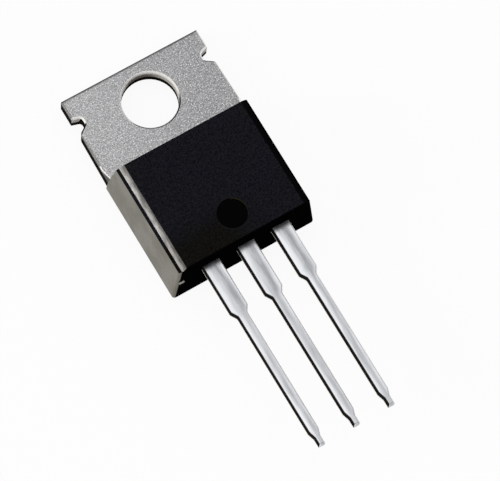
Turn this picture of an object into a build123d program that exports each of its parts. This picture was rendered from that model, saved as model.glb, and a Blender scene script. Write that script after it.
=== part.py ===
# Three-lead power transistor in a flat plastic package with a bolt-down metal tab.
# Units are millimetres. The origin is on the flat back face, at the mounting hole's axis.
# +Y points to the tab's end, the leads point to -Y, and +Z comes out of the front face.

import os

from build123d import *

os.makedirs("parts", exist_ok=True)

# Tab: stamped plate that carries the die and bolts to the heatsink
tab_thick = 1.27
ear_width = 10.16
tab_top_y = 2.72
hole_dia = 3.76
ear_length = 1.36
notch_depth = 0.65
notch_roof_slope = 0.2
notch_length = 0.52
notch_ramp = 0.42
waist_extra = -0.03
flare_width = 10.28
corner_round = 0.04
notch_round = 0.26
waist_round = 0.35
rim_rollover = 0.13
coined_start_y = -2.3
coined_size = 0.3
coined_end_size = 0.02

# Header: the part of the tab that is held in the plastic
header_width = 8.5
header_end_y = -9.8
lock_lip = 0.3
lock_lip_thick = 0.75

# Moulded body
body_base_width = 10.5
body_brow_width = 9.6
body_shoulder_width = 9.26
body_front_width = 8.54
body_thick = 4.5
brow_height = 3.9
shoulder_height = 4.2
body_top_y = -3.45
body_top_front_y = -3.9
body_end_front_y = -11.72
body_end_parting_y = -11.84
body_end_back_y = -11.97
body_edge_round = 0.12
body_corner_round = 0.22
ejector_dia = 2.0
ejector_depth = 0.12
ejector_y = -10.03
flash_length = 0.36
flash_inset = 0.08
flash_reach = 0.12
flash_thick = 0.07

# Leads
lead_pitch = 2.54
lead_thick = 0.58
lead_front_z = 3.12
wide_width = 1.28
narrow_width = 0.74
tip_width = 0.44
wide_end_y = -15.28
narrow_start_y = -15.72
taper_start_y = -24.3
taper_end_y = -24.78
lead_tip_y = -25.34
lead_corner_round = 0.25
lead_rollover = 0.12
neck_width = 1.6
neck_top_y = -11.35

# Inner ends of the outer leads, where the bond wires land
post_width = 2.1
post_offset = 0.1
post_top_y = -10.2
post_step_y = -11.5

# Die and its attachment
die_width = 4.2
die_length = 3.6
die_thick = 0.28
die_x = 0.15
die_y = -6.7
solder_thick = 0.05
solder_margin = 0.15

# Bond wires
source_wire_dia = 0.38
gate_wire_dia = 0.13
foot_length = 0.55
foot_press = 0.3
loop_height = 0.55
loop_lean = 0.35
bend_ratio = 0.8
loop_bend = 0.45
source_pad_spacing = 0.95
source_post_spacing = 0.8
source_pad_x = 0.75
source_pad_y = -6.9
gate_pad_inset = 0.45
landing_inset = 0.35
gate_landing_inset = 0.6

die_top_z = tab_thick + solder_thick + die_thick
lead_back_z = lead_front_z - lead_thick


# Plan of one lead, from its inner end down to its tip
def lead_outline(x, inner_y):
    right = [
        (wide_width / 2, inner_y),
        (wide_width / 2, wide_end_y),
        (narrow_width / 2, narrow_start_y),
        (narrow_width / 2, taper_start_y),
        (tip_width / 2, taper_end_y),
        (tip_width / 2, lead_tip_y),
    ]
    left = [(-px, py) for px, py in reversed(right)]
    return [(x + px, py) for px, py in right + left]


# The soft corners where a lead narrows
def narrowing_corners(plan):
    return plan.vertices().filter_by_position(Axis.Y, taper_end_y, wide_end_y)


# Drain tab: tab, header, bent neck and centre lead, one piece of copper
with BuildPart() as drain_tab:
    with BuildSketch() as tab_plan:
        with BuildLine():
            ear_bottom_y = tab_top_y - ear_length
            notch_roof_y = ear_bottom_y - notch_roof_slope
            notch_floor_y = notch_roof_y - notch_length
            outline = FilletPolyline(
                (0, tab_top_y),
                (-ear_width / 2, tab_top_y),
                (-ear_width / 2, ear_bottom_y),
                (-ear_width / 2 + notch_depth, notch_roof_y),
                (-ear_width / 2 + notch_depth, notch_floor_y),
                (-ear_width / 2 - waist_extra, notch_floor_y - notch_ramp),
                (-flare_width / 2, body_top_y),
                (0, body_top_y),
                radius=[corner_round, corner_round, notch_round, notch_round, waist_round, corner_round],
            )
            Line(outline @ 1, outline @ 0)
        make_face()
        mirror(about=Plane.YZ)
        Circle(hole_dia / 2, mode=Mode.SUBTRACT)
    extrude(amount=tab_thick)

    # The punch rolls the front edges over; the edge that meets the plastic stays square
    front_edges = drain_tab.faces().sort_by(Axis.Z)[-1].edges()
    fillet(front_edges.sort_by(Axis.Y)[1:], rim_rollover)

    # Coined bevels beside the plastic, which die out upwards along each long edge
    for side in (-1, 1):
        for plane_y, depth in ((body_top_y, coined_size), (coined_start_y, coined_end_size)):
            with BuildSketch(Plane.XZ.offset(-plane_y)):
                with BuildLine():
                    edge_x = side * flare_width / 2
                    Polyline(
                        (edge_x - side * depth, tab_thick),
                        (edge_x + side * depth, tab_thick),
                        (edge_x + side * depth, tab_thick - 2 * depth),
                        close=True,
                    )
                make_face()
        loft(mode=Mode.SUBTRACT)

    # Header inside the plastic, with a lip along each side that the plastic hooks under
    with BuildSketch(Plane.XZ.offset(-body_top_y)):
        with BuildLine():
            Polyline(
                (-header_width / 2 + lock_lip, 0),
                (header_width / 2 - lock_lip, 0),
                (header_width / 2 - lock_lip, tab_thick - lock_lip_thick),
                (header_width / 2, tab_thick - lock_lip_thick),
                (header_width / 2, tab_thick),
                (-header_width / 2, tab_thick),
                (-header_width / 2, tab_thick - lock_lip_thick),
                (-header_width / 2 + lock_lip, tab_thick - lock_lip_thick),
                close=True,
            )
        make_face()
    extrude(amount=body_top_y - header_end_y)

    # Neck bent up from the header's upper half to the level of the leads
    with BuildSketch(Plane.YZ.offset(-neck_width / 2)):
        with BuildLine():
            Polyline(
                (header_end_y, tab_thick),
                (neck_top_y, lead_front_z),
                (body_end_front_y, lead_front_z),
                (body_end_front_y, lead_back_z),
                (neck_top_y, lead_back_z),
                (header_end_y, tab_thick - lead_thick),
                close=True,
            )
        make_face()
    extrude(amount=neck_width)

    # Centre lead
    with BuildSketch(Plane.XY.offset(lead_back_z)) as centre_plan:
        with BuildLine():
            Polyline(*lead_outline(0, body_end_front_y), close=True)
        make_face()
        fillet(narrowing_corners(centre_plan), lead_corner_round)
    extrude(amount=lead_thick)

    # The punch softens the lead's front edges too
    lead_front_edges = drain_tab.edges().filter_by_position(Axis.Z, lead_front_z, lead_front_z)
    fillet([edge for edge in lead_front_edges if edge.center().Y < body_end_parting_y], lead_rollover)


# Gate and source leads: flat strips with a wide post inside the plastic
outer_leads = {}
for lead_name, side in (("gate_lead", -1), ("source_lead", 1)):
    with BuildPart() as outer_lead:
        with BuildSketch(Plane.XY.offset(lead_back_z)) as lead_plan:
            with BuildLine():
                Polyline(*lead_outline(side * lead_pitch, post_step_y), close=True)
            make_face()
            fillet(narrowing_corners(lead_plan), lead_corner_round)
            with Locations((side * (lead_pitch + post_offset), (post_top_y + post_step_y) / 2)):
                Rectangle(post_width, post_top_y - post_step_y)
        extrude(amount=lead_thick)
        fillet(outer_lead.faces().sort_by(Axis.Z)[-1].edges(), lead_rollover)
    outer_leads[lead_name] = outer_lead

# Solder under the die
with BuildPart() as die_solder:
    with BuildSketch(Plane.XY.offset(tab_thick)):
        with Locations((die_x, die_y)):
            Rectangle(die_width + 2 * solder_margin, die_length + 2 * solder_margin)
    extrude(amount=solder_thick)

# Silicon die
with BuildPart() as silicon_die:
    with BuildSketch(Plane.XY.offset(tab_thick + solder_thick)):
        with Locations((die_x, die_y)):
            Rectangle(die_width, die_length)
    extrude(amount=die_thick)


# One bond wire: a flat foot pressed on the die, an arched loop, and a foot pressed on a post
def bond_wire(start_x, start_y, end_x, end_y, diameter, post):
    start_z = die_top_z + foot_press * diameter
    end_z = lead_front_z + foot_press * diameter
    top_z = end_z + loop_height
    start = Vector(start_x, start_y, start_z)
    end = Vector(end_x, end_y, end_z)
    along = Vector(end_x - start_x, end_y - start_y, 0).normalized()
    rise = Vector(0, 0, 1)
    with BuildPart() as wire:
        with BuildLine() as wire_path:
            FilletPolyline(
                start,
                start + along * foot_length,
                start + along * (foot_length + loop_lean) + rise * (top_z - start_z),
                end - along * (foot_length + loop_lean) + rise * loop_height,
                end - along * foot_length,
                end,
                radius=[bend_ratio * diameter, loop_bend, bend_ratio * diameter, bend_ratio * diameter],
            )
        with BuildSketch(Plane(origin=wire_path.line @ 0, z_dir=wire_path.line % 0)):
            Circle(diameter / 2)
        sweep()
        add(silicon_die.part, mode=Mode.SUBTRACT)
        add(post.part, mode=Mode.SUBTRACT)
    return wire


source_wires = []
for index in (0, 1):
    across = index - 0.5
    source_wires.append(
        bond_wire(
            source_pad_x + across * source_pad_spacing,
            source_pad_y,
            lead_pitch + post_offset + across * source_post_spacing,
            post_top_y - landing_inset,
            source_wire_dia,
            outer_leads["source_lead"],
        )
    )

gate_wire = bond_wire(
    die_x - die_width / 2 + gate_pad_inset,
    die_y - die_length / 2 + gate_pad_inset,
    -lead_pitch - post_offset,
    post_top_y - gate_landing_inset,
    gate_wire_dia,
    outer_leads["gate_lead"],
)

# Moulded body: the cross section and the side view, each swept through the other
with BuildPart() as moulded_body:
    with BuildSketch(Plane.XZ.offset(-body_top_y)):
        with BuildLine():
            Polyline(
                (-body_base_width / 2, 0),
                (body_base_width / 2, 0),
                (body_brow_width / 2, brow_height),
                (body_shoulder_width / 2, shoulder_height),
                (body_front_width / 2, body_thick),
                (-body_front_width / 2, body_thick),
                (-body_shoulder_width / 2, shoulder_height),
                (-body_brow_width / 2, brow_height),
                close=True,
            )
        make_face()
    extrude(amount=body_top_y - body_end_back_y)
    with BuildSketch(Plane.YZ.offset(-body_base_width / 2)):
        with BuildLine():
            Polyline(
                (body_top_y, 0),
                (body_top_y, tab_thick),
                (body_top_front_y, body_thick),
                (body_end_front_y, body_thick),
                (body_end_parting_y, lead_back_z),
                (body_end_back_y, 0),
                close=True,
            )
        make_face()
    extrude(amount=body_base_width, mode=Mode.INTERSECT)

    # The corners at the lead end are well rounded, the front's edges only softened
    corners = moulded_body.edges().filter_by(lambda edge: abs(edge.tangent_at(0.5).Z) > 0.9)
    fillet(corners.group_by(Axis.Y)[0] + corners.group_by(Axis.Y)[1], body_corner_round)
    fillet(moulded_body.faces().sort_by(Axis.Z)[-1].edges(), body_edge_round)

    # Sliver of flash left at one end of the parting line
    brow_narrowing = (body_base_width - body_brow_width) / brow_height
    flash_x = -(body_base_width - brow_narrowing * lead_back_z) / 2 + flash_inset
    with BuildSketch(Plane.XY.offset(lead_back_z)):
        with Locations((flash_x, body_end_parting_y)):
            Rectangle(flash_length, 2 * flash_reach, align=(Align.MIN, Align.CENTER))
    extrude(amount=flash_thick)

    # Round mark that the ejector pin leaves in the front
    with BuildSketch(Plane.XY.offset(body_thick - ejector_depth)):
        with Locations((0, ejector_y)):
            Circle(ejector_dia / 2)
    extrude(amount=2 * ejector_depth, mode=Mode.SUBTRACT)

    # Everything that the plastic is moulded around
    for embedded in (drain_tab, *outer_leads.values(), die_solder, silicon_die, *source_wires, gate_wire):
        add(embedded.part, mode=Mode.SUBTRACT)

parts = {"drain_tab": drain_tab, **outer_leads}
parts["die_solder"] = die_solder
parts["silicon_die"] = silicon_die
parts["source_wire_1"] = source_wires[0]
parts["source_wire_2"] = source_wires[1]
parts["gate_wire"] = gate_wire
parts["moulded_body"] = moulded_body

for name, built in parts.items():
    built.part.label = name
    export_step(built.part, f"parts/{name}.step")
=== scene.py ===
import math

import bpy
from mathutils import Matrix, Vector


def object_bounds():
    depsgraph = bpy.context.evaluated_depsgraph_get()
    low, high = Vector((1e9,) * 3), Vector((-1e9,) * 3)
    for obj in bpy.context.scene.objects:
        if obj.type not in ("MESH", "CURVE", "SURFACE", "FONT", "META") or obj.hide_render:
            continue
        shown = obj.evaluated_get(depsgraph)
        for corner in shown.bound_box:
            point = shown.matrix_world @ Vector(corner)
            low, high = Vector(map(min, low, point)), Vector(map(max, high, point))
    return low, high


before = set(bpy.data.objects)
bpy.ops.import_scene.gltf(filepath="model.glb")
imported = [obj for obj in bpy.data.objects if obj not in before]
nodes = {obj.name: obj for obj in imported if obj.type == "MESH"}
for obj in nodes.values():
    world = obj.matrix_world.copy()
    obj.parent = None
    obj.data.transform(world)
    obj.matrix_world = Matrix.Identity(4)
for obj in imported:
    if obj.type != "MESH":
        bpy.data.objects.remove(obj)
cadLow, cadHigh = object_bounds()
mm = 0.001
bpy.ops.object.select_all(action="DESELECT")


# node helpers

def addNode(tree, kind, **settings):
    node = tree.nodes.new(kind)
    for key, value in settings.items():
        setattr(node, key, value)
    return node


def plug(tree, socket, value):
    # a number or colour is typed in, anything else is linked
    if isinstance(value, bpy.types.NodeSocket):
        tree.links.new(value, socket)
    else:
        socket.default_value = value


def math2(tree, operation, a, b=0.0, clamp=False):
    node = addNode(tree, "ShaderNodeMath", operation=operation, use_clamp=clamp)
    plug(tree, node.inputs[0], a)
    plug(tree, node.inputs[1], b)
    return node.outputs[0]


def times(tree, a, b):
    return math2(tree, "MULTIPLY", a, b)


def plus(tree, a, b, clamp=False):
    return math2(tree, "ADD", a, b, clamp)


def minus(tree, a, b, clamp=False):
    return math2(tree, "SUBTRACT", a, b, clamp)


def larger(tree, a, b):
    return math2(tree, "MAXIMUM", a, b)


def splitVector(tree, vector):
    node = addNode(tree, "ShaderNodeSeparateXYZ")
    tree.links.new(vector, node.inputs[0])
    return node.outputs[0], node.outputs[1], node.outputs[2]


# how far a place is from an upright line, seen along Z
def reachFrom(tree, x, y, centre):
    flat = addNode(tree, "ShaderNodeCombineXYZ")
    tree.links.new(x, flat.inputs[0])
    tree.links.new(y, flat.inputs[1])
    node = addNode(tree, "ShaderNodeVectorMath", operation="DISTANCE")
    tree.links.new(flat.outputs[0], node.inputs[0])
    node.inputs[1].default_value = centre
    return node.outputs["Value"]


def ramp(tree, value, low, high, fromValue=0.0, toValue=1.0):
    node = addNode(tree, "ShaderNodeMapRange", interpolation_type="SMOOTHSTEP")
    for index, item in enumerate((value, low, high, fromValue, toValue)):
        plug(tree, node.inputs[index], item)
    return node.outputs[0]


def mixColour(tree, factor, a, b):
    node = addNode(tree, "ShaderNodeMix", data_type="RGBA")
    plug(tree, node.inputs[0], factor)
    plug(tree, node.inputs[6], a)
    plug(tree, node.inputs[7], b)
    return node.outputs[2]


def mixValue(tree, factor, a, b):
    node = addNode(tree, "ShaderNodeMix", data_type="FLOAT")
    plug(tree, node.inputs[0], factor)
    plug(tree, node.inputs[2], a)
    plug(tree, node.inputs[3], b)
    return node.outputs[0]


def noise(tree, vector, scale, detail=2.0, roughness=0.5):
    node = addNode(tree, "ShaderNodeTexNoise")
    plug(tree, node.inputs["Vector"], vector)
    plug(tree, node.inputs["Scale"], scale)
    node.inputs["Detail"].default_value = detail
    node.inputs["Roughness"].default_value = roughness
    return node.outputs["Fac"]


# noise drawn out along Y, as rolling and drawing leave it
def drawnNoise(tree, vector, lengthScale, *layers):
    stretch = addNode(tree, "ShaderNodeMapping")
    tree.links.new(vector, stretch.inputs["Vector"])
    stretch.inputs["Scale"].default_value = (1.0, lengthScale, 1.0)
    return [noise(tree, stretch.outputs[0], *layer) for layer in layers]


def addBump(tree, shader, height, strength, distance):
    bump = addNode(tree, "ShaderNodeBump")
    plug(tree, bump.inputs["Strength"], strength)
    bump.inputs["Distance"].default_value = distance
    tree.links.new(height, bump.inputs["Height"])
    tree.links.new(bump.outputs[0], shader.inputs["Normal"])


def newGroup(name, inputs, outputs):
    group = bpy.data.node_groups.new(name, "ShaderNodeTree")
    for label, kind, value in inputs:
        socket = group.interface.new_socket(name=label, in_out="INPUT", socket_type=kind)
        if value is not None:
            socket.default_value = value
    for label, kind in outputs:
        group.interface.new_socket(name=label, in_out="OUTPUT", socket_type=kind)
    return group, addNode(group, "NodeGroupInput"), addNode(group, "NodeGroupOutput")


def placeGroup(tree, group, **values):
    node = addNode(tree, "ShaderNodeGroup", node_tree=group)
    for key, value in values.items():
        plug(tree, node.inputs[key], value)
    return node


def newMaterial(name):
    material = bpy.data.materials.new(name)
    material.use_nodes = True
    tree = material.node_tree
    shader = tree.nodes["Principled BSDF"]
    coords = addNode(tree, "ShaderNodeTexCoord")
    return material, tree, shader, coords


def dress(material, *nodeNames):
    for nodeName in nodeNames:
        slots = nodes[nodeName].data.materials
        slots.clear()
        slots.append(material)


# sandy blasted grain: a fine bumpy height, a light and dark speckle, and a few bright grains
def makeGrainGroup():
    floatKind = "NodeSocketFloat"
    inputs = [("Vector", "NodeSocketVector", None), ("Grain", floatKind, 0.1), ("Sparkle", floatKind, 0.5)]
    outputs = [("Speckle", floatKind), ("Glint", floatKind), ("Height", floatKind)]
    group, start, end = newGroup("sandyGrain", inputs, outputs)
    perMetre = math2(group, "DIVIDE", 1000.0, start.outputs["Grain"])
    coarse = times(group, perMetre, 0.42)
    fine = noise(group, start.outputs["Vector"], perMetre, 2.0, 0.6)
    broad = noise(group, start.outputs["Vector"], coarse, 2.0, 0.5)
    both = plus(group, times(group, fine, 0.78), times(group, broad, 0.22))
    glints = ramp(group, fine, 0.58, 0.74)
    lifted = times(group, glints, start.outputs["Sparkle"])
    speckle = plus(group, ramp(group, both, 0.34, 0.66), lifted, clamp=True)
    group.links.new(speckle, end.inputs["Speckle"])
    group.links.new(glints, end.inputs["Glint"])
    group.links.new(both, end.inputs["Height"])
    return group


# which way a surface faces: the long sides, the ends, and the flat front and back
def makeFacingGroup():
    floatKind = "NodeSocketFloat"
    inputs = [
        ("Normal", "NodeSocketVector", None),
        ("Centre", floatKind, 0.6),
        ("Sharpness", floatKind, 0.2),
    ]
    outputs = [("Left", floatKind), ("Right", floatKind), ("End", floatKind), ("Flat", floatKind)]
    group, start, end = newGroup("facing", inputs, outputs)
    normalX, normalY, normalZ = splitVector(group, start.outputs["Normal"])
    low = minus(group, start.outputs["Centre"], start.outputs["Sharpness"])
    high = plus(group, start.outputs["Centre"], start.outputs["Sharpness"])
    toLeft = times(group, normalX, -1.0)
    toEnd = math2(group, "ABSOLUTE", normalY)
    toFlat = math2(group, "ABSOLUTE", normalZ)
    for label, value in (("Left", toLeft), ("Right", normalX), ("End", toEnd), ("Flat", toFlat)):
        group.links.new(ramp(group, value, low, high), end.inputs[label])
    return group


# soft cloudy patches that shift a finish a little over its whole face
def makeCloudGroup():
    floatKind = "NodeSocketFloat"
    inputs = [("Vector", "NodeSocketVector", None), ("Size", floatKind, 3.0)]
    group, start, end = newGroup("cloudyPatches", inputs, [("Patch", floatKind)])
    perMetre = math2(group, "DIVIDE", 1000.0, start.outputs["Size"])
    patch = noise(group, start.outputs["Vector"], perMetre, 3.0, 0.55)
    group.links.new(ramp(group, patch, 0.32, 0.68), end.inputs["Patch"])
    return group


grainGroup = makeGrainGroup()
facingGroup = makeFacingGroup()
cloudGroup = makeCloudGroup()
print("shared node groups made")


# bright tin on the leads, used by the outer leads and by the tab's own centre lead
# each width has a dull stripe, a painted reflection broken a little by drawn lines: where it starts, is
# strongest and ends, measured across the lead
# the noise layers give their scale per metre, detail and roughness
leadFinish = dict(
    bright=(0.61, 0.62, 0.64, 1),
    paintedStreak=(0.27, 0.275, 0.29, 1),
    root=(0.11, 0.105, 0.115, 1),
    shadedCutWall=(0.012, 0.011, 0.011, 1),
    burrHighlight=(0.85, 0.82, 0.78, 1),
    rightEdgeHighlight=(0.88, 0.88, 0.89, 1),
    pitch=2.54 * mm,
    narrowStart=-15.1 * mm,
    narrowEnd=-16.1 * mm,
    wideStreak=(-0.56 * mm, 0.20 * mm, 0.66 * mm),
    narrowStreak=(-0.24 * mm, 0.04 * mm, 0.44 * mm),
    narrowShare=0.75,
    drawnLength=0.12,
    drawnLines=(6000.0, 3.0, 0.6),
    wander=(1300.0, 2.0, 0.5),
    wanderReach=0.45 * mm,
    rootStart=-12.30 * mm,
    rootEnd=-11.90 * mm,
    burrLow=2.62 * mm,
    burrHigh=2.68 * mm,
    topRoughness=(0.24, 0.34),
    wallRoughness=0.6,
    bumpStrength=0.25,
    bumpDepth=0.01 * mm,
)


def makeTinGroup(look):
    colourKind, floatKind = "NodeSocketColor", "NodeSocketFloat"
    inputs = [("Vector", "NodeSocketVector", None), ("Normal", "NodeSocketVector", None)]
    outputs = [("Colour", colourKind)] + [(label, floatKind) for label in ("Roughness", "Metal", "Height")]
    group, start, end = newGroup("brightTin", inputs, outputs)
    x, y, z = splitVector(group, start.outputs["Vector"])
    drawnLines, wander = drawnNoise(group, start.outputs["Vector"], look["drawnLength"],
                                    look["drawnLines"], look["wander"])

    # place across the lead, the same on all three
    wrapped = addNode(group, "ShaderNodeMath", operation="WRAP")
    plug(group, wrapped.inputs[0], x)
    wrapped.inputs[1].default_value = look["pitch"] / 2
    wrapped.inputs[2].default_value = -look["pitch"] / 2
    offset = times(group, minus(group, wander, 0.5), look["wanderReach"])
    across = plus(group, wrapped.outputs[0], offset)

    # painted reflection: the dull stripe down each lead, set by place across it
    narrow = ramp(group, y, look["narrowStart"], look["narrowEnd"])
    low, peak, high = (mixValue(group, narrow, wide, slim)
                       for wide, slim in zip(look["wideStreak"], look["narrowStreak"]))
    paintedStreak = minus(group, ramp(group, across, low, peak), ramp(group, across, peak, high))
    paintedStreak = times(group, paintedStreak, mixValue(group, narrow, 1.0, look["narrowShare"]))
    paintedStreak = times(group, paintedStreak, ramp(group, drawnLines, 0.25, 0.65, 0.8, 1.0))
    top = mixColour(group, paintedStreak, look["bright"], look["paintedStreak"])
    # painted shade near the root, standing in for the reflection of the black body, made uneven by the
    # wander noise
    root = ramp(group, y, look["rootStart"], look["rootEnd"])
    root = times(group, root, ramp(group, wander, 0.3, 0.6, 0.5, 1.0))
    top = mixColour(group, root, top, look["root"])

    # cut sides: painted shade makes them black, with a painted highlight on the burr along the back
    facing = placeGroup(group, facingGroup, Normal=start.outputs["Normal"], Centre=0.25, Sharpness=0.14)
    upright = math2(group, "ABSOLUTE", splitVector(group, start.outputs["Normal"])[2])
    # painted highlight on the rolled edges that face right
    top = mixColour(group, facing.outputs["Right"], top, look["rightEdgeHighlight"])
    rightWall = times(group, facing.outputs["Right"], ramp(group, upright, 0.1, 0.02))
    sides = larger(group, facing.outputs["Left"], rightWall)
    # painted highlight along the burr at the back of the cut sides
    burrHighlight = ramp(group, z, look["burrHigh"], look["burrLow"])
    wall = mixColour(group, burrHighlight, look["shadedCutWall"], look["burrHighlight"])
    group.links.new(mixColour(group, sides, top, wall), end.inputs["Colour"])
    smooth = ramp(group, drawnLines, 0.3, 0.7, *look["topRoughness"])
    group.links.new(mixValue(group, sides, smooth, look["wallRoughness"]), end.inputs["Roughness"])
    group.links.new(mixValue(group, sides, 1.0, 0.0), end.inputs["Metal"])
    group.links.new(drawnLines, end.inputs["Height"])
    return group


tinGroup = makeTinGroup(leadFinish)


def makeLeadMaterial(look):
    material, tree, shader, coords = newMaterial("brightTinLead")
    tin = placeGroup(tree, tinGroup, Vector=coords.outputs["Object"], Normal=coords.outputs["Normal"])
    tree.links.new(tin.outputs["Colour"], shader.inputs["Base Color"])
    tree.links.new(tin.outputs["Roughness"], shader.inputs["Roughness"])
    tree.links.new(tin.outputs["Metal"], shader.inputs["Metallic"])
    addBump(tree, shader, tin.outputs["Height"], look["bumpStrength"], look["bumpDepth"])
    shader.inputs["Specular IOR Level"].default_value = 0.0
    return material


# plated tab: sandy nickel on the faces, rolled rims, cut walls, and bright tin on the centre lead
tabFinish = dict(
    pale=(0.52, 0.52, 0.53, 1),
    deep=(0.30, 0.30, 0.305, 1),
    paleShade=(0.42, 0.42, 0.43, 1),
    deepShade=(0.21, 0.21, 0.215, 1),
    glint=(0.85, 0.85, 0.86, 1),
    rimLight=(0.98, 0.97, 0.96, 1),
    rimHalfShade=(0.16, 0.16, 0.16, 1),
    rimShade=(0.012, 0.011, 0.011, 1),
    outerWall=(0.30, 0.30, 0.30, 1),
    burnishedWall=(0.26, 0.235, 0.21, 1),
    notchWall=(0.56, 0.54, 0.51, 1),
    tornAndShadedWall=(0.010, 0.009, 0.008, 1),
    topEdgeShade=(0.10, 0.10, 0.10, 1),
    coinedWedge=(0.13, 0.13, 0.135, 1),
    coinedTop=-2.32 * mm,
    coinedLineLow=1.17 * mm,
    coinedLineHigh=1.23 * mm,
    outerEdge=4.98 * mm,
    holeReach=2.1 * mm,
    tornHeight=0.52 * mm,
    leftShadeHeight=1.06 * mm,
    crescentLow=0.96 * mm,
    crescentHigh=1.04 * mm,
    tornBlur=0.07 * mm,
    grain=0.085,
    patch=3.5,
    leadStart=-11.6 * mm,
    shadeLeft=-4.5 * mm,
    shadeRight=4.5 * mm,
    topEdgeLow=2.50 * mm,
    topEdgeHigh=2.60 * mm,
    topEdgeShare=0.6,
    shadeShare=0.75,
    patchShare=0.15,
    roughness=(0.52, 0.38),
    bumpStrength=(0.55, 0.1),
    bumpDepth=0.012 * mm,
)


# sandy face, with painted shade darkening it towards the right, and a little darker in soft patches; the
# top edge gets a painted shade line
def makeSandyFace(tree, look, x, grain, patch, topEdgeShade):
    face = mixColour(tree, grain.outputs["Speckle"], look["deep"], look["pale"])
    shaded = mixColour(tree, grain.outputs["Speckle"], look["deepShade"], look["paleShade"])
    drift = ramp(tree, x, look["shadeLeft"], look["shadeRight"], 0.0, look["shadeShare"])
    drift = plus(tree, drift, times(tree, patch, look["patchShare"]))
    face = mixColour(tree, drift, face, shaded)
    face = mixColour(tree, grain.outputs["Glint"], face, look["glint"])
    return mixColour(tree, times(tree, topEdgeShade, look["topEdgeShare"]), face, look["topEdgeShade"])


# the part of an edge's direction that lies flat, as X and Y, whatever the edge's slope
def edgeDirection(tree, normalX, normalY, normalZ):
    level = minus(tree, 1.0, times(tree, normalZ, normalZ), clamp=True)
    slope = larger(tree, math2(tree, "SQRT", level), 0.05)
    return math2(tree, "DIVIDE", normalX, slope), math2(tree, "DIVIDE", normalY, slope)


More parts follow.
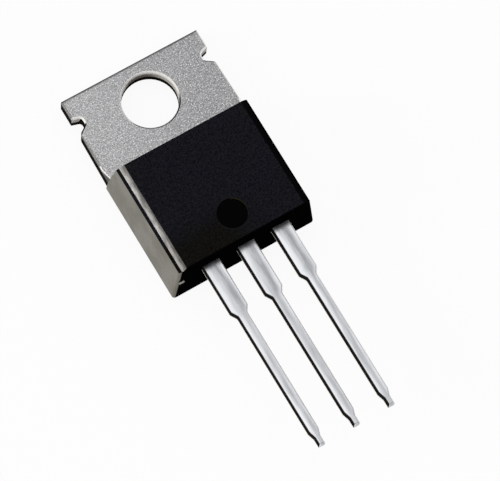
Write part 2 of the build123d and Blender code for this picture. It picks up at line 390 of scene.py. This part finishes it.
def makeTabMaterial(look):
    material, tree, shader, coords = newMaterial("sandyNickelTab")
    place = coords.outputs["Object"]
    normal = coords.outputs["Normal"]
    x, y, z = splitVector(tree, place)
    normalX, normalY, normalZ = splitVector(tree, normal)
    grain = placeGroup(tree, grainGroup, Vector=place, Grain=look["grain"], Sparkle=0.0)
    cloud = placeGroup(tree, cloudGroup, Vector=place, Size=look["patch"])
    facing = placeGroup(tree, facingGroup, Normal=normal, Centre=0.55, Sharpness=0.2)
    tin = placeGroup(tree, tinGroup, Vector=place, Normal=normal)
    # painted shade: a dark line along the top edge
    topEdgeShade = ramp(tree, y, look["topEdgeLow"], look["topEdgeHigh"])
    face = makeSandyFace(tree, look, x, grain, cloud.outputs["Patch"], topEdgeShade)

    # inside the hole and the side notches, as against the outer edges
    beyondHole = math2(tree, "GREATER_THAN", reachFrom(tree, x, y, (0.0, 0.0, 0.0)), look["holeReach"])
    inside = math2(tree, "LESS_THAN", math2(tree, "ABSOLUTE", x), look["outerEdge"])

    # painted highlights: edges that face the leads or the right, and a crescent on the far walls of the
    # hole and notches
    edgeX, edgeY = edgeDirection(tree, normalX, normalY, normalZ)
    lean = minus(tree, times(tree, edgeX, 0.45), times(tree, edgeY, 0.89))
    towards = plus(tree, times(tree, edgeX, -0.66), times(tree, edgeY, -0.75))
    crescentHighlight = times(tree, inside, ramp(tree, towards, 0.25, 0.6))

    # cut walls: burnished where the punch entered, torn and black towards the back; on outer walls facing
    # left the black is painted shade reaching almost the whole thickness
    tornAndShadeLine = mixValue(tree, facing.outputs["Left"], look["tornHeight"], look["leftShadeHeight"])
    tornAndShadeLine = mixValue(tree, beyondHole, look["tornHeight"], tornAndShadeLine)
    tornAndShade = ramp(tree, minus(tree, tornAndShadeLine, z), -look["tornBlur"], look["tornBlur"])
    # painted light: hole walls facing left are made lighter, with the pale notch wall tone
    holeWall = mixColour(tree, ramp(tree, edgeX, -0.3, -0.95), look["burnishedWall"], look["notchWall"])
    outerWall = mixColour(tree, inside, look["outerWall"], look["notchWall"])
    wall = mixColour(tree, beyondHole, holeWall, outerWall)
    # the painted highlight crescent runs along the top of those walls
    wallTop = ramp(tree, z, look["crescentLow"], look["crescentHigh"])
    wall = mixColour(tree, times(tree, crescentHighlight, wallTop), wall, look["rimLight"])
    wall = mixColour(tree, tornAndShade, wall, look["tornAndShadedWall"])
    isWall = times(tree, ramp(tree, normalZ, 0.30, 0.12), ramp(tree, normalZ, -0.9, -0.5))

    # rolled rims, coloured by facing as painted light: painted shade where they lean away, a dimmer
    # painted half shade on the left, a painted highlight where they face the leads or the right
    away = ramp(tree, lean, -0.55, -0.9)
    rim = mixColour(tree, away, look["rimHalfShade"], look["rimShade"])
    rim = mixColour(tree, topEdgeShade, rim, look["topEdgeShade"])
    rim = mixColour(tree, larger(tree, ramp(tree, lean, -0.2, 0.2), crescentHighlight), rim, look["rimLight"])
    isRim = times(tree, ramp(tree, normalZ, 0.995, 0.94), ramp(tree, normalZ, -0.3, 0.0))

    # coined wedge beside the plastic, on the side facing left: dull, with a painted highlight line where
    # it meets the face
    coined = math2(tree, "LESS_THAN", y, look["coinedTop"])
    coined = times(tree, coined, math2(tree, "LESS_THAN", edgeX, 0.0))
    wedgeHighlight = ramp(tree, z, look["coinedLineLow"], look["coinedLineHigh"])
    wedge = mixColour(tree, wedgeHighlight, look["coinedWedge"], look["rimLight"])
    rim = mixColour(tree, coined, rim, wedge)

    plate = mixColour(tree, isWall, mixColour(tree, isRim, face, rim), wall)
    onLead = math2(tree, "LESS_THAN", y, look["leadStart"])
    tree.links.new(mixColour(tree, onLead, plate, tin.outputs["Colour"]), shader.inputs["Base Color"])
    rough = mixValue(tree, grain.outputs["Speckle"], *look["roughness"])
    tree.links.new(mixValue(tree, onLead, rough, tin.outputs["Roughness"]), shader.inputs["Roughness"])

    # torn and shaded walls, rims in painted shade, painted highlight crescents and coined wedges don't
    # reflect as metal does
    dullRim = larger(tree, times(tree, away, minus(tree, 1.0, topEdgeShade)), coined)
    dullRim = larger(tree, dullRim, crescentHighlight)
    dull = larger(tree, times(tree, isWall, tornAndShade), times(tree, isRim, dullRim))
    metal = mixValue(tree, dull, 1.0, 0.0)
    tree.links.new(mixValue(tree, onLead, metal, tin.outputs["Metal"]), shader.inputs["Metallic"])
    bumpStrength = mixValue(tree, onLead, *look["bumpStrength"])
    addBump(tree, shader, grain.outputs["Height"], bumpStrength, look["bumpDepth"])
    shader.inputs["Specular IOR Level"].default_value = 0.0
    return material


# black moulding epoxy: matt front and ends, polished long walls, smooth black ejector mark; painted shade
# blackens the ends and the right side, painted light pales and warms the left walls, and the flash has a
# painted highlight
epoxyFinish = dict(
    cool=(0.0040, 0.0040, 0.0105, 1),
    warm=(0.0026, 0.0020, 0.0008, 1),
    neutral=(0.0066, 0.0062, 0.0070, 1),
    pit=(0.0002, 0.0002, 0.0002, 1),
    fleck=(0.026, 0.026, 0.027, 1),
    leftWallLightTint=(0.055, 0.044, 0.012, 1),
    flash=(0.42, 0.40, 0.37, 1),
    endAndRightShade=(0.0010, 0.0010, 0.0010, 1),
    mark=(0.0002, 0.0002, 0.0002, 1),
    markRim=(0.0105, 0.0105, 0.0115, 1),
    warmStart=-8.4 * mm,
    warmEnd=-10.8 * mm,
    warmSide=1.2 * mm,
    mottle=0.11,
    markCentre=(0.0, -10.03 * mm, 0.0),
    markRadius=1.0 * mm,
    flashY=-11.86 * mm,
    flashZ=2.545 * mm,
    bevelInner=-4.28 * mm,
    bevelOuter=-4.60 * mm,
    wallGloss=0.9,
    bevelGloss=0.9,
    rightGloss=0.03,
    frontGloss=0.015,
    patch=2.5,
    polishLength=0.25,
    polishLines=(5200.0, 3.0, 0.6),
    bevelFadeStart=-12.2 * mm,
    bevelFadeEnd=-8.0 * mm,
    roughness=(0.75, 0.6),
    bumpStrength=0.35,
    bumpDepth=0.008 * mm,
)


# the front is bluish at the tab end and brownish at the lead end, with fine mottling
def makeFrontColour(tree, look, x, y, speckle, patch):
    warm = ramp(tree, y, look["warmStart"], look["warmEnd"])
    leftward = ramp(tree, x, look["warmSide"] * 2, -look["warmSide"])
    warm = times(tree, warm, leftward)
    colour = mixColour(tree, warm, look["cool"], look["warm"])
    neutralShare = times(tree, patch, mixValue(tree, warm, 0.4, 0.1))
    colour = mixColour(tree, neutralShare, colour, look["neutral"])
    speckled = mixColour(tree, speckle, look["pit"], look["fleck"])
    return mixColour(tree, mixValue(tree, warm, 0.42, 0.22), colour, speckled)


# ejector mark: smooth and blacker, with a thin paler rim
def addEjectorMark(tree, look, x, y, patch, colour):
    reach = reachFrom(tree, x, y, look["markCentre"])
    radius = look["markRadius"]
    inMark = ramp(tree, reach, radius * 1.01, radius * 0.97)
    inRim = ramp(tree, reach, radius * 1.10, radius * 1.05)
    inRim = times(tree, inRim, ramp(tree, patch, 0.2, 0.8, 0.15, 0.7))
    colour = mixColour(tree, inRim, colour, look["markRim"])
    return mixColour(tree, inMark, colour, look["mark"])


# the long walls and the bevel are polished, and the break line between them is matt
def makeGloss(tree, look, place, x, y, patch, normalZ, isWall, toLeft, toRight):
    streaks, = drawnNoise(tree, place, look["polishLength"], look["polishLines"])
    bevel = times(tree, ramp(tree, normalZ, 0.60, 0.68), ramp(tree, normalZ, 0.97, 0.80))
    bevel = times(tree, bevel, ramp(tree, streaks, 0.35, 0.62, 0.45, look["bevelGloss"]))
    bevel = times(tree, bevel, ramp(tree, y, look["bevelFadeStart"], look["bevelFadeEnd"], 0.6, 1.0))
    bevel = times(tree, bevel, ramp(tree, x, look["bevelInner"], look["bevelOuter"], 0.25, 1.0))
    polished = plus(tree, times(tree, isWall, look["wallGloss"]), bevel, clamp=True)
    sides = plus(tree, toLeft, times(tree, toRight, look["rightGloss"]))
    return times(tree, times(tree, polished, sides), ramp(tree, patch, 0.0, 1.0, 0.78, 1.0))


def makeEpoxyMaterial(look):
    material, tree, shader, coords = newMaterial("blackEpoxy")
    place = coords.outputs["Object"]
    x, y, z = splitVector(tree, place)
    normalX, _, normalZ = splitVector(tree, coords.outputs["Normal"])
    grain = placeGroup(tree, grainGroup, Vector=place, Grain=look["mottle"], Sparkle=0.3)
    patch = placeGroup(tree, cloudGroup, Vector=place, Size=look["patch"]).outputs["Patch"]
    facing = placeGroup(tree, facingGroup, Normal=coords.outputs["Normal"], Centre=0.6, Sharpness=0.1)
    toLeft = ramp(tree, normalX, -0.25, -0.55)
    toRight = ramp(tree, normalX, 0.25, 0.5)
    isWall = ramp(tree, normalZ, 0.42, 0.30)

    colour = makeFrontColour(tree, look, x, y, grain.outputs["Speckle"], patch)
    colour = addEjectorMark(tree, look, x, y, patch, colour)
    # painted shade: the ends and the surfaces facing right are made blacker
    colour = mixColour(tree, larger(tree, facing.outputs["End"], toRight), colour, look["endAndRightShade"])
    # painted light: the long walls facing left are made paler and warmer
    colour = mixColour(tree, times(tree, isWall, toLeft), colour, look["leftWallLightTint"])
    # painted highlight on the flash past the lead end, above the parting line
    pastEnd = math2(tree, "LESS_THAN", y, look["flashY"])
    aboveParting = math2(tree, "GREATER_THAN", z, look["flashZ"])
    colour = mixColour(tree, times(tree, pastEnd, aboveParting), colour, look["flash"])
    tree.links.new(colour, shader.inputs["Base Color"])

    gloss = makeGloss(tree, look, place, x, y, patch, normalZ, isWall, toLeft, toRight)
    onFront = times(tree, facing.outputs["Flat"], look["frontGloss"])
    tree.links.new(plus(tree, gloss, onFront), shader.inputs["Coat Weight"])
    shader.inputs["Coat IOR"].default_value = 1.65
    shader.inputs["Coat Roughness"].default_value = 0.2
    shader.inputs["Specular IOR Level"].default_value = 0.0
    rough = ramp(tree, grain.outputs["Speckle"], 0.0, 1.0, *look["roughness"])
    tree.links.new(rough, shader.inputs["Roughness"])
    addBump(tree, shader, grain.outputs["Height"], look["bumpStrength"], look["bumpDepth"])
    return material


# the sealed inner pieces: metallised silicon, dull solder and drawn wire
innerFinish = dict(
    silicon=((0.15, 0.16, 0.20, 1), (0.24, 0.25, 0.29, 1), 0.25, 0.3),
    solder=((0.32, 0.32, 0.33, 1), (0.5, 0.5, 0.51, 1), 0.5, 0.1),
    wire=((0.62, 0.62, 0.64, 1), (0.82, 0.82, 0.84, 1), 0.35, 0.05),
)


def makeInnerMaterial(name, dark, light, roughness, grainSize):
    material, tree, shader, coords = newMaterial(name)
    grain = placeGroup(tree, grainGroup, Vector=coords.outputs["Object"], Grain=grainSize, Sparkle=0.2)
    tree.links.new(mixColour(tree, grain.outputs["Speckle"], dark, light), shader.inputs["Base Color"])
    rough = mixValue(tree, grain.outputs["Speckle"], roughness, roughness + 0.12)
    tree.links.new(rough, shader.inputs["Roughness"])
    shader.inputs["Metallic"].default_value = 1.0
    return material


dress(makeTabMaterial(tabFinish), "drain_tab")
dress(makeLeadMaterial(leadFinish), "gate_lead", "source_lead")
dress(makeEpoxyMaterial(epoxyFinish), "moulded_body")
dress(makeInnerMaterial("siliconFace", *innerFinish["silicon"]), "silicon_die")
dress(makeInnerMaterial("dullSolder", *innerFinish["solder"]), "die_solder")
dress(makeInnerMaterial("drawnWire", *innerFinish["wire"]), "source_wire_1", "source_wire_2", "gate_wire")
print("materials on all nodes")


# floor and background
floorLook = dict(size=0.9, drop=0.01 * mm, colour=(0.93, 0.93, 0.93, 1), backgroundShare=0.92)


def makeFloor(look):
    bpy.ops.mesh.primitive_plane_add(size=look["size"], location=(0, 0, cadLow.z - look["drop"]))
    floor = bpy.context.object
    floor.name = "floor"
    material, tree, shader, _ = newMaterial("paleFloor")
    shader.inputs["Base Color"].default_value = look["colour"]
    shader.inputs["Roughness"].default_value = 0.9
    shader.inputs["Specular IOR Level"].default_value = 0.0
    white = addNode(tree, "ShaderNodeEmission")
    rays = addNode(tree, "ShaderNodeLightPath")
    seen = larger(tree, rays.outputs["Is Camera Ray"], rays.outputs["Is Glossy Ray"])
    seen = larger(tree, seen, rays.outputs["Is Transmission Ray"])
    blend = addNode(tree, "ShaderNodeMixShader")
    tree.links.new(times(tree, seen, look["backgroundShare"]), blend.inputs[0])
    tree.links.new(shader.outputs[0], blend.inputs[1])
    tree.links.new(white.outputs[0], blend.inputs[2])
    tree.links.new(blend.outputs[0], tree.nodes["Material Output"].inputs["Surface"])
    floor.data.materials.append(material)


makeFloor(floorLook)


# plain studio: pale room, a broad soft overhead box, a low strip on the left and a weak fill in front
studio = dict(
    roomColour=(1.0, 1.0, 1.0, 1),
    roomStrength=0.55,
    lampColours=dict(leftStrip=(1.0, 0.965, 0.90)),
    lamps=[
        ("overhead", (0.09, 0.11, 0.42), (0.30, 0.30), 1.02),
        ("leftStrip", (-0.36, 0.09, 0.14), (0.14, 0.10), 14.0),
        ("frontFill", (0.10, -0.42, 0.14), (0.34, 0.16), 2.2),
    ],
)


def makeStudio(look):
    world = bpy.data.worlds.new("paleRoom")
    bpy.context.scene.world = world
    world.use_nodes = True
    tree = world.node_tree
    background = tree.nodes["Background"]
    background.inputs["Color"].default_value = look["roomColour"]
    rays = addNode(tree, "ShaderNodeLightPath")
    strength = mixValue(tree, rays.outputs["Is Camera Ray"], look["roomStrength"], 1.0)
    tree.links.new(strength, background.inputs["Strength"])
    centre = (cadLow + cadHigh) / 2
    for name, place, size, radiance in look["lamps"]:
        bpy.ops.object.light_add(type="AREA", location=Vector(place) + centre)
        lamp = bpy.context.object
        lamp.name = name
        lamp.data.shape = "RECTANGLE"
        lamp.data.size, lamp.data.size_y = size
        lamp.data.energy = radiance * math.pi * size[0] * size[1]
        lamp.data.color = look["lampColours"].get(name, (1.0, 1.0, 1.0))
        lamp.rotation_euler = (-Vector(place)).to_track_quat("-Z", "Y").to_euler()


makeStudio(studio)
print("floor and lamps placed")


# camera, aimed a little off the object's centre, leaning to one side
cameraView = dict(aim=(0.57 * mm, -0.22 * mm, -0.25 * mm), azimuth=-41.64, elevation=72.41, roll=11.3,
                  distance=190.0 * mm, lens=215.8)


def makeCamera(look):
    azimuth, elevation, roll = (math.radians(look[key]) for key in ("azimuth", "elevation", "roll"))
    back = Vector((math.sin(azimuth) * math.cos(elevation),
                   -math.cos(azimuth) * math.cos(elevation),
                   math.sin(elevation)))
    aim = (cadLow + cadHigh) / 2 + Vector(look["aim"])
    bpy.ops.object.camera_add(location=aim + back * look["distance"])
    camera = bpy.context.object
    camera.rotation_euler = back.to_track_quat("Z", "Y").to_euler()
    camera.rotation_euler.rotate_axis("Z", roll)
    camera.data.lens = look["lens"]
    camera.data.clip_start = 0.005
    camera.data.clip_end = 5.0
    bpy.context.scene.camera = camera


makeCamera(cameraView)
bpy.context.scene.view_settings.view_transform = "Standard"
print("camera set")
